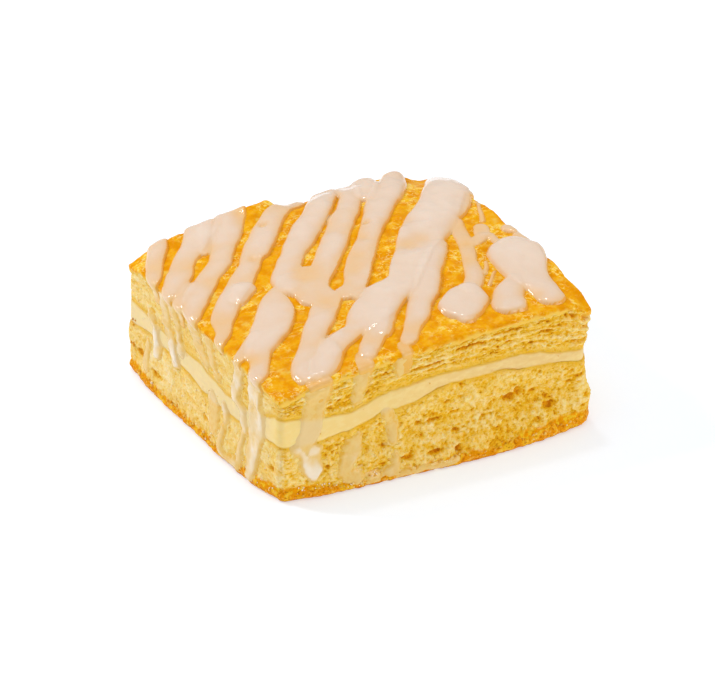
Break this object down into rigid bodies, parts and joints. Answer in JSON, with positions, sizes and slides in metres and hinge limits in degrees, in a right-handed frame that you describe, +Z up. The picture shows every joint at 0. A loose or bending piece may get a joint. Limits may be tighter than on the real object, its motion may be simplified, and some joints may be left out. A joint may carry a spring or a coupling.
{
  "type": "cheese danish square",
  "caption": "Square cut of cheese danish: two slabs of flaky dough with a cheese layer between them, a golden crust and icing drizzled across it.",
  "frame": {"origin": "the middle of the overall box, on the surface that the danish lies on", "axes": "+X along the longer sides, from the left side to the right one; +Z up, from the base to the icing; -Y towards the front side"},
  "size_m": [0.0934, 0.0907, 0.0398],
  "materials": {
    "crumb": "soft open crumb of pale yellow dough",
    "cheese": "smooth, slightly moist baked cheese",
    "crust": "glazed golden crust",
    "icing": "set sugar icing with a soft gloss",
    "base_crust": "browned, slightly greasy base crust"
  },
  "bodies": {
    "root": {"bottom_dough": "crumb", "cheese_filling": "cheese", "top_dough": "crust"}
  },
  "joints": []
}
